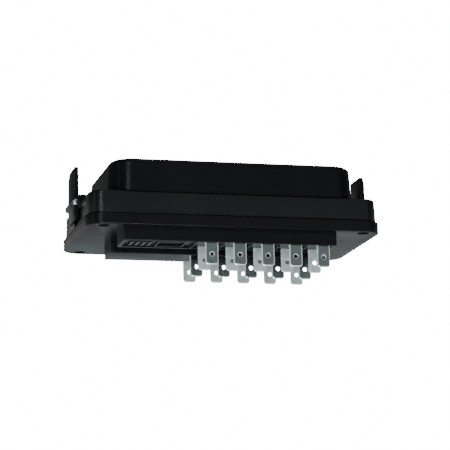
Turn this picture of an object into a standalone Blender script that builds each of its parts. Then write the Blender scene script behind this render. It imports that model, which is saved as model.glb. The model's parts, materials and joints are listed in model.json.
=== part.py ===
"""Ten-way automotive fuse box: a flanged base with two banks of blade terminals on its
underside, ten plug-in blade fuses, and a lift-off lid held by two squeeze latches.

The origin is on the flange's underside, the face that meets the panel, halfway along the
flange and midway between the two banks. +Z points up through the lid, X runs along the box
and -Y is its front. The banks stand nearer the flange's front edge than its rear one.
"""

import math

import bmesh
import bpy

MM = 0.001
GAP = 0.3 * MM  # left between pieces that touch or slide

# Flange and lid skirt
FLANGE_LENGTH = 141.2 * MM
FLANGE_DEPTH = 73.0 * MM
FLANGE_MIDDLE = 7.35 * MM  # Y of the middle of the flange, the lid and the latches
FLANGE_CORNER = 8.5 * MM
FLANGE_HEIGHT = 5.2 * MM
BOTTOM_ROUND = 0.5 * MM
TOP_ROUND = 0.4 * MM
FLOOR_TOP = 3.4 * MM
SKIRT_INSET = 1.15 * MM
SKIRT_WALL = 1.6 * MM
SKIRT_TOP = 16.2 * MM
SKIRT_DRAFT = 0.4 * MM
SKIRT_FOOT_ROUND = 0.3 * MM
SKIRT_TOP_ROUND = 0.9 * MM
LID_WALL = 1.8 * MM

# Dome of the lid
DOME_HALF_LENGTH = 58.8 * MM
DOME_FRONT = FLANGE_MIDDLE - 34.7 * MM
DOME_REAR = FLANGE_MIDDLE + 30.0 * MM
DOME_TOP = 32.0 * MM
DOME_CORNER = 10.6 * MM
DOME_EDGE = 2.2 * MM
DOME_DRAFT = 0.5 * MM
DOME_WALL = 1.6 * MM

# Collar that the lid fits over, and the blocks that the fuses stand on
COLLAR_INSET = SKIRT_INSET + SKIRT_WALL + GAP
COLLAR_WALL = 1.6 * MM
COLLAR_TOP = 8.0 * MM
SOCKET_TOP = COLLAR_TOP
SOCKET_DEPTH = 18.6 * MM
SOCKET_MARGIN = 6.3 * MM

# Two banks under the flange
BANK_LEFT = -52.8 * MM
BANK_RIGHT = 49.2 * MM
BANK_DEPTH = 17.8 * MM
BANK_HEIGHT = 6.3 * MM
GROOVE_WIDTH = 13.3 * MM
BANK_RIM = 1.6 * MM
BANK_POCKET = 1.0 * MM
BANK_CORNER = 1.0 * MM
POCKET_CORNER = 0.6 * MM
OVERLAP = 1.0 * MM  # how far joined solids run into each other, and cutters past a face

# Fuses and terminals
COLUMNS = 5
SPARE_COLUMNS = 2
COLUMN_PITCH = 13.5 * MM
FIRST_COLUMN = -11.3 * MM
TAB_WIDTH = 6.3 * MM
TAB_THICKNESS = 0.8 * MM
TAB_TIP = -16.6 * MM
TAB_CHAMFER = 1.0 * MM
TAB_CHAMFER_KNEE = 0.3 * MM
TAB_HOLE = 2.0 * MM
TAB_HOLE_FROM_TIP = 4.9 * MM
BLADE_SPAN = 14.5 * MM  # across the outer edges of a fuse's two blades
BLADE_WIDTH = 5.2 * MM
BLADE_THICKNESS = 0.65 * MM
BLADE_LENGTH = 6.5 * MM
BRIDGE_BOTTOM = 0.6 * MM
JAW_HALF_GAP = BLADE_THICKNESS / 2 + GAP
JAW_LEAF = 0.6 * MM
JAW_TOP = 7.6 * MM
FUSE_WIDTH = 18.9 * MM
FUSE_THICKNESS = 5.1 * MM
FUSE_HEIGHT = 12.0 * MM
FUSE_CAP = 4.2 * MM
FUSE_WAIST_WIDTH = 16.6 * MM
FUSE_STEP = 0.8 * MM
FUSE_CHAMFER = 0.6 * MM
FUSE_ROOF = 3.5 * MM
BLADE_CHAMFER = 1.0 * MM
LINK_WIDTH = 1.1 * MM
LINK_HEIGHT = 3.6 * MM
LINK_ARCH = 3.2 * MM
FUSE_SEAT = SOCKET_TOP + GAP

# Panel screws
SCREW_X = 62.2 * MM
SCREW_Y = 31.6 * MM  # from the middle of the flange
SCREW_HOLE = 5.2 * MM
SCREW_HEAD = 7.6 * MM
SCREW_SEAT = 2.0 * MM
SCREW_BOSS = 10.4 * MM

# Latches
LATCH_WIDTH = 14.8 * MM
LATCH_TOP = 33.2 * MM
LATCH_BOTTOM = 7.6 * MM
LATCH_THICKNESS = 2.1 * MM
LATCH_INNER = FLANGE_LENGTH / 2 - SKIRT_INSET + GAP
LATCH_TIP = 3.8 * MM  # length of the thumb tab's tapered end
LATCH_HOOK = 1.4 * MM
PIVOT_X = LATCH_INNER + 1.6 * MM
PIVOT_Z = 15.8 * MM
KNUCKLE = 3.6 * MM
PIN = 1.5 * MM
PIN_HOLE = PIN + 2 * GAP
PIN_HEAD = 2.8 * MM
PIN_HEAD_HEIGHT = 0.5 * MM
PIN_HEAD_CHAMFER = 0.2 * MM
EAR_THICKNESS = 1.6 * MM
EAR_TOP = 19.4 * MM
EAR_REACH = 5.5 * MM
CATCH_WIDTH = 9.0 * MM
CATCH_TOP = 12.9 * MM
CATCH_LIP = 1.5 * MM

ROUND_STEPS = 8
EDGE_STEPS = 4
SMALLEST_RADIUS = 0.02 * MM


def clear_scene():
    for found in list(bpy.data.objects):
        bpy.data.objects.remove(found, do_unlink=True)


def finish(name, colour, roughness, metallic=0.0):
    material = bpy.data.materials.new(name)
    material.use_nodes = True
    shader = material.node_tree.nodes["Principled BSDF"]
    shader.inputs["Base Color"].default_value = (*colour, 1.0)
    shader.inputs["Roughness"].default_value = roughness
    shader.inputs["Metallic"].default_value = metallic
    return material


def black_plastic(name):
    return finish(name, (0.012, 0.013, 0.015), 0.35)


def tinned_brass(name):
    return finish(name, (0.72, 0.70, 0.64), 0.3, 1.0)


def zinc(name):
    return finish(name, (0.62, 0.62, 0.6), 0.32, 1.0)


def bright_steel(name):
    return finish(name, (0.66, 0.66, 0.67), 0.25, 1.0)


def make_object(name, rings, material=None):
    """A closed solid lofted through rings of equal length, each anticlockwise from above."""
    mesh = bpy.data.meshes.new(name)
    shape = bmesh.new()
    loops = [[shape.verts.new(point) for point in ring] for ring in rings]
    shape.faces.new(list(reversed(loops[0])))
    shape.faces.new(loops[-1])
    for low, high in zip(loops, loops[1:]):
        for i in range(len(low)):
            j = (i + 1) % len(low)
            shape.faces.new((low[i], low[j], high[j], high[i]))
    bmesh.ops.recalc_face_normals(shape, faces=shape.faces)
    shape.to_mesh(mesh)
    shape.free()
    made = bpy.data.objects.new(name, mesh)
    bpy.context.scene.collection.objects.link(made)
    if material:
        mesh.materials.append(material)
        mesh.shade_smooth()
        mesh.set_sharp_from_angle(angle=math.radians(35))
    return made


def rounded_outline(box, corner, inset, z):
    """Points round a rectangle (x0, x1, y0, y1) with rounded corners, drawn in by inset."""
    x0, x1, y0, y1 = box[0] + inset, box[1] - inset, box[2] + inset, box[3] - inset
    radius = max(corner - inset, SMALLEST_RADIUS)
    centres = ((x1, y1, 0), (x0, y1, 1), (x0, y0, 2), (x1, y0, 3))
    points = []
    for x, y, quarter in centres:
        cx = x - radius if quarter in (0, 3) else x + radius
        cy = y - radius if quarter in (0, 1) else y + radius
        for step in range(ROUND_STEPS + 1):
            angle = math.pi / 2 * (quarter + step / ROUND_STEPS)
            points.append((cx + radius * math.cos(angle), cy + radius * math.sin(angle), z))
    return points


def rounded_block(name, box, z0, z1, corner, material=None, low=0.0, high=0.0, draft=0.0):
    """An upright block with rounded corners, rounded low and high edges and tapering walls."""
    sections = []
    if low:
        for step in range(EDGE_STEPS):
            angle = math.pi / 2 * step / EDGE_STEPS
            sections.append((z0 + low * (1 - math.cos(angle)), low * (1 - math.sin(angle))))
    sections.append((z0 + low, 0.0))
    sections.append((z1 - high, 0.0))
    if high:
        for step in range(1, EDGE_STEPS + 1):
            angle = math.pi / 2 * step / EDGE_STEPS
            sections.append((z1 - high * (1 - math.sin(angle)), high * (1 - math.cos(angle))))
    rings = []
    for z, inset in sections:
        taper = draft * (z - z0) / (z1 - z0)
        rings.append(rounded_outline(box, corner, inset + taper, z))
    return make_object(name, rings, material)


def block(name, x0, x1, y0, y1, z0, z1, material=None):
    rings = [[(x0, y0, z), (x1, y0, z), (x1, y1, z), (x0, y1, z)] for z in (z0, z1)]
    return make_object(name, rings, material)


def along_y(name, outline, y0, y1, material=None):
    """A solid made by carrying an outline of (x, z) points from y0 to y1."""
    return make_object(name, [[(x, y, z) for x, z in outline] for y in (y0, y1)], material)


def along_x(name, outline, x0, x1, material=None):
    """A solid made by carrying an outline of (y, z) points from x0 to x1."""
    return make_object(name, [[(x, y, z) for y, z in outline] for x in (x0, x1)], material)


def circle(cx, cy, radius, steps=16, start=0.0, sweep=2 * math.pi):
    """Points on an arc about (cx, cy). A full circle leaves out its repeated last point."""
    count = steps if sweep == 2 * math.pi else steps + 1
    angles = [start + sweep * i / steps for i in range(count)]
    return [(cx + radius * math.cos(a), cy + radius * math.sin(a)) for a in angles]


def upright_cylinder(name, x, y, radius, z0, z1):
    rings = [[(px, py, z) for px, py in circle(x, y, radius, 20)] for z in (z0, z1)]
    return make_object(name, rings)


def combine(target, other, operation):
    """Adds another solid to the target, or cuts it away, and keeps it as a hidden helper."""
    other.hide_render = True
    other.display_type = "WIRE"
    modifier = target.modifiers.new(other.name, "BOOLEAN")
    modifier.operation = operation
    modifier.object = other
    modifier.solver = "EXACT"


def cut(target, *cutters):
    for cutter in cutters:
        combine(target, cutter, "DIFFERENCE")


def join(target, *others):
    for other in others:
        combine(target, other, "UNION")


def together(name, pieces):
    """Several solids that stay clear of each other, gathered into one cutter."""
    shape = bmesh.new()
    for piece in pieces:
        shape.from_mesh(piece.data)
        bpy.data.objects.remove(piece, do_unlink=True)
    mesh = bpy.data.meshes.new(name)
    shape.to_mesh(mesh)
    shape.free()
    made = bpy.data.objects.new(name, mesh)
    bpy.context.scene.collection.objects.link(made)
    return made


def flange_box(inset):
    half_x, half_y = FLANGE_LENGTH / 2 - inset, FLANGE_DEPTH / 2 - inset
    return (-half_x, half_x, FLANGE_MIDDLE - half_y, FLANGE_MIDDLE + half_y)


def fuse_rows():
    """Y of the middle of each fuse row, which is also the middle of its bank."""
    from_origin = (BANK_DEPTH + GROOVE_WIDTH) / 2
    return (-from_origin, from_origin)


def columns():
    return [FIRST_COLUMN + COLUMN_PITCH * i for i in range(COLUMNS)]


def spare_columns():
    return [FIRST_COLUMN - COLUMN_PITCH * (i + 1) for i in range(SPARE_COLUMNS)]


def terminal_places():
    """(name, x, y of the tab, direction of the jaw from it) of the twenty terminals."""
    letters = iter("abcd")
    places = []
    for row in fuse_rows():
        for side in (-1, 1):
            letter = next(letters)
            for number, x in enumerate(columns(), 1):
                places.append((f"terminal_{letter}{number}", x, row + side * BLADE_SPAN / 2, -side))
    return places


def screw_places():
    rows = (FLANGE_MIDDLE - SCREW_Y, FLANGE_MIDDLE + SCREW_Y)
    return [(x, y) for x in (-SCREW_X, SCREW_X) for y in rows]


def banks():
    solids = []
    for number, row in enumerate(fuse_rows()):
        box = (BANK_LEFT, BANK_RIGHT, row - BANK_DEPTH / 2, row + BANK_DEPTH / 2)
        solids.append(
            rounded_block(f"bank_{number}", box, -BANK_HEIGHT, OVERLAP, BANK_CORNER, low=TOP_ROUND)
        )
    return solids


def bank_pocket():
    """The front bank is hollowed from below, which leaves a rim round it."""
    row = fuse_rows()[0]
    half = BANK_DEPTH / 2 - BANK_RIM
    box = (BANK_LEFT + BANK_RIM, BANK_RIGHT - BANK_RIM, row - half, row + half)
    return rounded_block(
        "bank_pocket", box, -BANK_HEIGHT - OVERLAP, -BANK_HEIGHT + BANK_POCKET, POCKET_CORNER
    )


def socket_blocks():
    solids = []
    left = spare_columns()[-1] - SOCKET_MARGIN
    right = columns()[-1] + SOCKET_MARGIN
    for number, row in enumerate(fuse_rows()):
        y0, y1 = row - SOCKET_DEPTH / 2, row + SOCKET_DEPTH / 2
        solids.append(
            block(f"socket_block_{number}", left, right, y0, y1, FLOOR_TOP - OVERLAP, SOCKET_TOP)
        )
    return solids


def tab_slots():
    """Slots through the floor and banks, each just wider than a terminal's tab."""
    half_x = TAB_WIDTH / 2 + GAP
    half_y = TAB_THICKNESS / 2 + GAP
    top = BRIDGE_BOTTOM + TAB_THICKNESS + GAP
    return together(
        "tab_slots",
        [
            block(name, x - half_x, x + half_x, y - half_y, y + half_y, -BANK_HEIGHT - OVERLAP, top)
            for name, x, y, _ in terminal_places()
        ],
    )


def jaw_pockets():
    """Pockets in the socket blocks, open at the top, that the terminals' jaws stand in."""
    half_x = JAW_HALF_GAP + JAW_LEAF + GAP
    near = TAB_THICKNESS / 2 + GAP
    far = BLADE_WIDTH + 2 * GAP
    pockets = []
    for name, x, y, inward in terminal_places():
        ends = sorted((y - inward * near, y + inward * far))
        pockets.append(
            block(name, x - half_x, x + half_x, *ends, BRIDGE_BOTTOM - GAP, SOCKET_TOP + OVERLAP)
        )
    return together("jaw_pockets", pockets)


def parking_slots():
    """Blind slots to the left of the live positions, where spare fuses stand."""
    half_x = BLADE_THICKNESS / 2 + 2 * GAP
    half_y = BLADE_SPAN / 2 + GAP
    bottom = SOCKET_TOP - BLADE_LENGTH
    slots = []
    for x in spare_columns():
        for row in fuse_rows():
            ends = (row - half_y, row + half_y)
            slots.append(block("slot", x - half_x, x + half_x, *ends, bottom, SOCKET_TOP + OVERLAP))
    return together("parking_slots", slots)


def tray():
    """The hollow inside the collar, which goes round the four screw bosses."""
    hollow = rounded_block(
        "tray",
        flange_box(COLLAR_INSET + COLLAR_WALL),
        FLOOR_TOP,
        COLLAR_TOP + OVERLAP,
        FLANGE_CORNER - COLLAR_INSET - COLLAR_WALL,
    )
    bosses = [
        upright_cylinder("boss", x, y, SCREW_BOSS / 2, FLOOR_TOP - OVERLAP, COLLAR_TOP + 2 * OVERLAP)
        for x, y in screw_places()
    ]
    cut(hollow, together("screw_bosses", bosses))
    return hollow


def catches():
    """A post at each end of the collar with a lip that a latch hooks under."""
    solids = []
    wall = FLANGE_LENGTH / 2 - COLLAR_INSET
    tip = FLANGE_LENGTH / 2 - SKIRT_INSET - GAP
    half = CATCH_WIDTH / 2
    for side, label in ((-1, "left"), (1, "right")):
        outline = [
            (wall - COLLAR_WALL, FLOOR_TOP),
            (wall, FLOOR_TOP),
            (wall, CATCH_TOP - CATCH_LIP),
            (tip, CATCH_TOP - CATCH_LIP),
            (tip, CATCH_TOP - CATCH_LIP / 2),
            (wall, CATCH_TOP),
            (wall - COLLAR_WALL, CATCH_TOP),
        ]
        points = [(side * x, z) for x, z in outline]
        ends = (FLANGE_MIDDLE - half, FLANGE_MIDDLE + half)
        solids.append(along_y(f"catch_{label}", points, *ends))
    return solids


def screw_cylinders(diameter, bottom):
    """Cutters at the four panel screws, from bottom up through the top of the collar."""
    return together(
        "screw_cylinders",
        [
            upright_cylinder("hole", x, y, diameter / 2, bottom, COLLAR_TOP + OVERLAP)
            for x, y in screw_places()
        ],
    )


def base():
    made = rounded_block(
        "base", flange_box(0), 0, FLANGE_HEIGHT, FLANGE_CORNER, black_plastic("base"),
        low=BOTTOM_ROUND, high=TOP_ROUND,
    )
    collar = rounded_block(
        "collar", flange_box(COLLAR_INSET), FLANGE_HEIGHT - OVERLAP, COLLAR_TOP,
        FLANGE_CORNER - COLLAR_INSET, high=TOP_ROUND,
    )
    join(made, collar)
    cut(made, tray())
    join(made, *socket_blocks(), *banks(), *catches())
    cut(made, bank_pocket(), tab_slots(), jaw_pockets(), parking_slots())
    cut(made, screw_cylinders(SCREW_HOLE, -OVERLAP), screw_cylinders(SCREW_HEAD, SCREW_SEAT))
    return made


def lid_hollow():
    inset = SKIRT_INSET + SKIRT_WALL
    return rounded_block(
        "lid_hollow", flange_box(inset), 0, SKIRT_TOP - LID_WALL, FLANGE_CORNER - inset
    )


def dome_box(inset):
    half = DOME_HALF_LENGTH - inset
    return (-half, half, DOME_FRONT + inset, DOME_REAR - inset)


def ear_outline(side):
    """(x, z) outline of a lug on the lid's end that carries the latch's pin."""
    wall = FLANGE_LENGTH / 2 - SKIRT_INSET - SKIRT_WALL / 2
    arc = circle(PIVOT_X, PIVOT_Z, KNUCKLE / 2, 8, math.radians(60), math.radians(-165))
    points = [
        (wall - EAR_REACH, SKIRT_TOP - LID_WALL / 2),
        (wall - EAR_REACH + OVERLAP, EAR_TOP),
        (PIVOT_X, EAR_TOP),
        *arc,
        (wall, PIVOT_Z - KNUCKLE),
        (wall, SKIRT_TOP - LID_WALL / 2),
    ]
    return [(side * x, z) for x, z in points]


def ears():
    solids = []
    near = LATCH_WIDTH / 2 + GAP
    for side in (-1, 1):
        for end in (-1, 1):
            ends = [FLANGE_MIDDLE + end * y for y in (near, near + EAR_THICKNESS)]
            solids.append(along_y(f"ear_{side}_{end}", ear_outline(side), *sorted(ends)))
    return solids


def pin_holes():
    """One hole through both ears and the latch at each end."""
    reach = LATCH_WIDTH / 2 + GAP + EAR_THICKNESS + OVERLAP
    ends = (FLANGE_MIDDLE - reach, FLANGE_MIDDLE + reach)
    holes = [
        along_y("hole", circle(side * PIVOT_X, PIVOT_Z, PIN_HOLE / 2, 12), *ends)
        for side in (-1, 1)
    ]
    return together("pin_holes", holes)


def catch_windows():
    """Notches in the skirt's ends, open at the bottom, that clear the catches."""
    inner = FLANGE_LENGTH / 2 - SKIRT_INSET - SKIRT_WALL - OVERLAP
    outer = FLANGE_LENGTH / 2
    half = CATCH_WIDTH / 2 + 2 * GAP
    sides = (FLANGE_MIDDLE - half, FLANGE_MIDDLE + half)
    notches = []
    for side in (-1, 1):
        ends = sorted((side * inner, side * outer))
        notches.append(block("notch", *ends, *sides, 0, CATCH_TOP + 3 * GAP))
    return together("catch_windows", notches)


def lid():
    made = rounded_block(
        "lid", flange_box(SKIRT_INSET), FLANGE_HEIGHT + GAP, SKIRT_TOP,
        FLANGE_CORNER - SKIRT_INSET, black_plastic("lid"), low=SKIRT_FOOT_ROUND,
        high=SKIRT_TOP_ROUND, draft=SKIRT_DRAFT,
    )
    dome = rounded_block(
        "dome", dome_box(0), SKIRT_TOP - LID_WALL / 2, DOME_TOP, DOME_CORNER,
        high=DOME_EDGE, draft=DOME_DRAFT,
    )
    dome_hollow = rounded_block(
        "dome_hollow", dome_box(DOME_WALL), SKIRT_TOP - 2 * LID_WALL, DOME_TOP - LID_WALL,
        DOME_CORNER - DOME_WALL, high=DOME_EDGE - DOME_WALL, draft=DOME_DRAFT,
    )
    join(made, dome, *ears())
    cut(made, lid_hollow(), dome_hollow, catch_windows(), pin_holes())
    return made


def latch_outline():
    """(x, z) outline of the right-hand latch: hook, knuckle, then thumb tab."""
    outer = LATCH_INNER + LATCH_THICKNESS
    knuckle = circle(PIVOT_X, PIVOT_Z, KNUCKLE / 2, 8, math.radians(-70), math.radians(140))
    hook_top = CATCH_TOP - CATCH_LIP - 2 * GAP
    return [
        (LATCH_INNER + 2 * GAP, LATCH_BOTTOM),
        (outer - GAP, LATCH_BOTTOM),
        (outer, LATCH_BOTTOM + 3 * GAP),
        *knuckle,
        (outer, LATCH_TOP - LATCH_TIP),
        (outer - 2 * GAP, LATCH_TOP),
        (LATCH_INNER - GAP, LATCH_TOP),
        (LATCH_INNER - GAP, PIVOT_Z + KNUCKLE),
        (LATCH_INNER, PIVOT_Z + KNUCKLE / 2),
        (LATCH_INNER, hook_top + GAP),
        (LATCH_INNER - GAP, hook_top),
        (LATCH_INNER - GAP, hook_top - LATCH_HOOK),
        (LATCH_INNER, LATCH_BOTTOM + 2 * GAP),
    ]


def latch(side, label):
    """A latch whose origin is on the axis of its pin."""
    points = [(side * (x - PIVOT_X), z - PIVOT_Z) for x, z in latch_outline()]
    name = f"latch_{label}"
    half = LATCH_WIDTH / 2
    made = along_y(name, points, -half, half, black_plastic(name))
    made.location = (side * PIVOT_X, FLANGE_MIDDLE, PIVOT_Z)
    bore = along_y(f"{name}_bore", circle(0, 0, PIN_HOLE / 2, 12), -LATCH_WIDTH, LATCH_WIDTH)
    bore.location = made.location
    cut(made, bore)
    return made


def latch_pin(side, label):
    """A pin with a head at each end, turned about its own axis."""
    shank_end = LATCH_WIDTH / 2 + GAP + EAR_THICKNESS + GAP
    head_end = shank_end + PIN_HEAD_HEIGHT
    profile = [
        (-head_end, PIN_HEAD / 2 - PIN_HEAD_CHAMFER),
        (-head_end + PIN_HEAD_CHAMFER, PIN_HEAD / 2),
        (-shank_end, PIN_HEAD / 2),
        (-shank_end, PIN / 2),
        (shank_end, PIN / 2),
        (shank_end, PIN_HEAD / 2),
        (head_end - PIN_HEAD_CHAMFER, PIN_HEAD / 2),
        (head_end, PIN_HEAD / 2 - PIN_HEAD_CHAMFER),
    ]
    name = f"latch_pin_{label}"
    rings = [[(x, y, z) for x, z in circle(0, 0, radius, 12)] for y, radius in profile]
    made = make_object(name, rings, bright_steel(name))
    made.location = (side * PIVOT_X, FLANGE_MIDDLE, PIVOT_Z)
    return made


def tab_outline():
    """(x, z) outline of the blade tab, with its tip's corners cut off."""
    half = TAB_WIDTH / 2
    top = BRIDGE_BOTTOM + TAB_THICKNESS
    return [
        (-half + TAB_CHAMFER, TAB_TIP),
        (half - TAB_CHAMFER, TAB_TIP),
        (half - TAB_CHAMFER_KNEE, TAB_TIP + TAB_CHAMFER_KNEE),
        (half, TAB_TIP + TAB_CHAMFER),
        (half, top),
        (-half, top),
        (-half, TAB_TIP + TAB_CHAMFER),
        (-half + TAB_CHAMFER_KNEE, TAB_TIP + TAB_CHAMFER_KNEE),
    ]


def jaw_outline():
    """(x, z) outline of the jaw: a channel whose two leaves grip the fuse's blade."""
    inner, outer = JAW_HALF_GAP, JAW_HALF_GAP + JAW_LEAF
    floor = BRIDGE_BOTTOM + TAB_THICKNESS
    return [
        (-outer, BRIDGE_BOTTOM),
        (outer, BRIDGE_BOTTOM),
        (outer, JAW_TOP),
        (inner, JAW_TOP),
        (inner, floor),
        (-inner, floor),
        (-inner, JAW_TOP),
        (-outer, JAW_TOP),
    ]


def terminal(name, x, y, inward):
    """One stamping: the tab below the base and the jaw that it is folded into above."""
    half = TAB_THICKNESS / 2
    made = along_y(name, tab_outline(), -half, half, tinned_brass(name))
    ends = sorted((0.0, inward * BLADE_WIDTH))
    jaw = along_y(f"{name}_jaw", jaw_outline(), *ends)
    height = TAB_TIP + TAB_HOLE_FROM_TIP
    hole = along_y(f"{name}_hole", circle(0, height, TAB_HOLE / 2, 10), -OVERLAP, OVERLAP)
    for piece in (made, jaw, hole):
        piece.location = (x, y, 0)
    join(made, jaw)
    cut(made, hole)
    return made


RATING_COLOURS = (
    (0.85, 0.12, 0.02),  # 10 A red
    (0.02, 0.22, 0.75),  # 15 A blue
    (0.9, 0.65, 0.03),  # 20 A yellow
    (0.75, 0.75, 0.72),  # 25 A clear
    (0.03, 0.45, 0.12),  # 30 A green
)


def fuse_body_outline():
    """(y, z) outline of the fuse's plastic body above its seat: a wide cap on a waist."""
    waist, cap = FUSE_WAIST_WIDTH / 2, FUSE_WIDTH / 2
    step = FUSE_HEIGHT - FUSE_CAP
    return [
        (-waist, 0),
        (waist, 0),
        (waist, step - FUSE_STEP),
        (cap, step),
        (cap, FUSE_HEIGHT - FUSE_CHAMFER),
        (cap - FUSE_CHAMFER, FUSE_HEIGHT),
        (-cap + FUSE_CHAMFER, FUSE_HEIGHT),
        (-cap, FUSE_HEIGHT - FUSE_CHAMFER),
        (-cap, step),
        (-waist, step - FUSE_STEP),
    ]


def fuse_body(name, x, y, colour):
    half = FUSE_THICKNESS / 2
    made = along_x(name, fuse_body_outline(), -half, half, finish(name, colour, 0.2))
    reach = BLADE_SPAN / 2 + GAP
    slit = BLADE_THICKNESS / 2 + GAP
    hollow = block(f"{name}_hollow", -slit, slit, -reach, reach, -OVERLAP, FUSE_HEIGHT - FUSE_ROOF)
    for piece in (made, hollow):
        piece.location = (x, y, FUSE_SEAT)
    cut(made, hollow)
    return made


def element_outline():
    """(y, z) outline of the fuse's metal: two blades joined by an arched link."""
    outer = BLADE_SPAN / 2
    inner = outer - BLADE_WIDTH
    crown = inner * 0.6
    arch = [(crown, LINK_HEIGHT + LINK_ARCH), (-crown, LINK_HEIGHT + LINK_ARCH)]
    under = [(y, z - LINK_WIDTH) for y, z in reversed(arch)]
    right = [
        (inner, -BLADE_LENGTH + BLADE_CHAMFER),
        (inner + BLADE_CHAMFER, -BLADE_LENGTH),
        (outer - BLADE_CHAMFER, -BLADE_LENGTH),
        (outer, -BLADE_LENGTH + BLADE_CHAMFER),
        (outer, LINK_HEIGHT),
        (inner + LINK_WIDTH, LINK_HEIGHT),
    ]
    left = [(-y, z) for y, z in reversed(right)]
    inside = [(-inner, LINK_HEIGHT - LINK_WIDTH), *under, (inner, LINK_HEIGHT - LINK_WIDTH)]
    return [*right, *arch, *left, *inside]


def fuse_element(name, x, y):
    half = BLADE_THICKNESS / 2
    made = along_x(name, element_outline(), -half, half, zinc(name))
    made.location = (x, y, FUSE_SEAT)
    return made


def fuses():
    number = 0
    for row in fuse_rows():
        for x in columns():
            number += 1
            colour = RATING_COLOURS[(number - 1) % len(RATING_COLOURS)]
            fuse_body(f"fuse_body_{number:02d}", x, row, colour)
            fuse_element(f"fuse_element_{number:02d}", x, row)


clear_scene()
base()
lid()
for end, end_name in ((-1, "left"), (1, "right")):
    latch(end, end_name)
    latch_pin(end, end_name)
for place in terminal_places():
    terminal(*place)
fuses()
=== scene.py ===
"""The looks of the fuse box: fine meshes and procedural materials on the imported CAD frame.

Every new piece stands for one CAD node, rides on that node's body and is placed from the nodes'
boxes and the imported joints. The ten fuse elements keep their CAD meshes and are only painted.
Lengths are in metres, in the CAD's frame: +Z up through the lid, X along the box, -Y front.
"""

import json
import math

import bmesh
import bpy
from mathutils import Matrix, Vector


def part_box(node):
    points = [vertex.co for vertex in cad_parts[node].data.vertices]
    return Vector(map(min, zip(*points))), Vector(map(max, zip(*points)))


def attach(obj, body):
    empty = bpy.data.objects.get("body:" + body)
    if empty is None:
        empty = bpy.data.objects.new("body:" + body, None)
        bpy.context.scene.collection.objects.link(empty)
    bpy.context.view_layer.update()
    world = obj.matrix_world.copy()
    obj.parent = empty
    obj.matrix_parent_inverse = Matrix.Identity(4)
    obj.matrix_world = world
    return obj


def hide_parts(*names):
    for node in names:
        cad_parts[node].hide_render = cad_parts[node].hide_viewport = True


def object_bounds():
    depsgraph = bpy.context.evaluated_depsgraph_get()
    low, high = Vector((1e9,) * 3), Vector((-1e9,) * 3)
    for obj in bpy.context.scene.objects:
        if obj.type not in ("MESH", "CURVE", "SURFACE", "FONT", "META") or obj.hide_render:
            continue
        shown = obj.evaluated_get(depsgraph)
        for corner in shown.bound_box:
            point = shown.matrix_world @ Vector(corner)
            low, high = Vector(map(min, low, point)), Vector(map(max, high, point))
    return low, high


MM = 0.001
GAP = 0.3 * MM
PAST = 1 * MM  # how far a cutter or a joined block reaches past a face
HAIR = 0.01 * MM  # keeps a cutter's corner off the face that it cuts

# How finely curves are divided
CORNER_STEPS = 12
EDGE_STEPS = 5
KNUCKLE_STEPS = 12
TAB_CORNER_STEPS = 8

COLUMNS = 5
SPARE_COLUMNS = 2
FUSES = 10

# Flange, collar and tray
FLANGE_CORNER = 8.5 * MM
FLANGE_HEIGHT = 5.2 * MM
FLANGE_FOOT_ROUND = 0.5 * MM
FLANGE_TOP_ROUND = 0.4 * MM
FLOOR_TOP = 3.4 * MM
TRAY_ROUND = 0.5 * MM
SKIRT_INSET = 1.15 * MM
SKIRT_WALL = 1.6 * MM
COLLAR_INSET = SKIRT_INSET + SKIRT_WALL + GAP
COLLAR_WALL = 1.6 * MM
COLLAR_TOP = 8.0 * MM
COLLAR_FILLET = 0.3 * MM
COLLAR_TOP_ROUND = 0.4 * MM

# Screw holes, counterbored from above
SCREW_X = 62.2 * MM
SCREW_Y = 31.6 * MM
SCREW_HOLE = 5.2 * MM
SCREW_FLARE = 0.3 * MM
SCREW_HEAD = 7.6 * MM
SCREW_SEAT = 2.0 * MM
SCREW_BOSS = 10.4 * MM

# Banks below the flange and socket blocks above it
BANK_LEFT = -52.8 * MM
BANK_RIGHT = 49.2 * MM
BANK_DEPTH = 17.8 * MM
BANK_HEIGHT = 6.3 * MM
BANK_RIM = 1.6 * MM
BANK_CORNER = 1.0 * MM
BANK_ROUND = 0.4 * MM
SOCKET_DEPTH = 18.6 * MM
SOCKET_MARGIN = 6.3 * MM
SOCKET_CORNER = 0.6 * MM
SOCKET_ROUND = 0.3 * MM

# The front bank's pocket: ribs between the columns, bars and a frame at its left end
BANK_POCKET = 1.0 * MM
POCKET_CORNER = 0.6 * MM
POCKET_ROUND = 0.3 * MM
RIB_HEIGHT = 0.9 * MM
RIB_HALF_WIDTH = 0.5 * MM
BARS = 4
BAR_START = 2.6 * MM
BAR_PITCH = 2.9 * MM
BAR_WIDTH = 1.5 * MM
BAR_HALF_LENGTH = 4.2 * MM
FRAME_OFFSET = 4.5 * MM
FRAME_HALF_LENGTH = 6.6 * MM
FRAME_HALF_DEPTH = 5.2 * MM
FRAME_THICKNESS = 0.7 * MM

# Terminals. A tab's edges are coined down to a land, its hole is flared at both faces.
TAB_THICKNESS = 0.8 * MM
TAB_WIDTH = 6.3 * MM
TAB_CORNER = 1.5 * MM
TAB_COIN = 0.5 * MM
TAB_HALF_LAND = 0.1 * MM
TAB_HOLE = 2.0 * MM
TAB_HOLE_FROM_TIP = 4.9 * MM
TAB_FLARE = 0.3 * MM
TAB_FLARE_DEPTH = 0.2 * MM
TAB_FLARE_PAST = 0.05 * MM
BRIDGE_BOTTOM = 0.6 * MM
JAW_HALF_GAP = 0.625 * MM
JAW_LEAF = 0.6 * MM
JAW_TOP = 7.6 * MM
JAW_ROUND = 0.12 * MM

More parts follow.
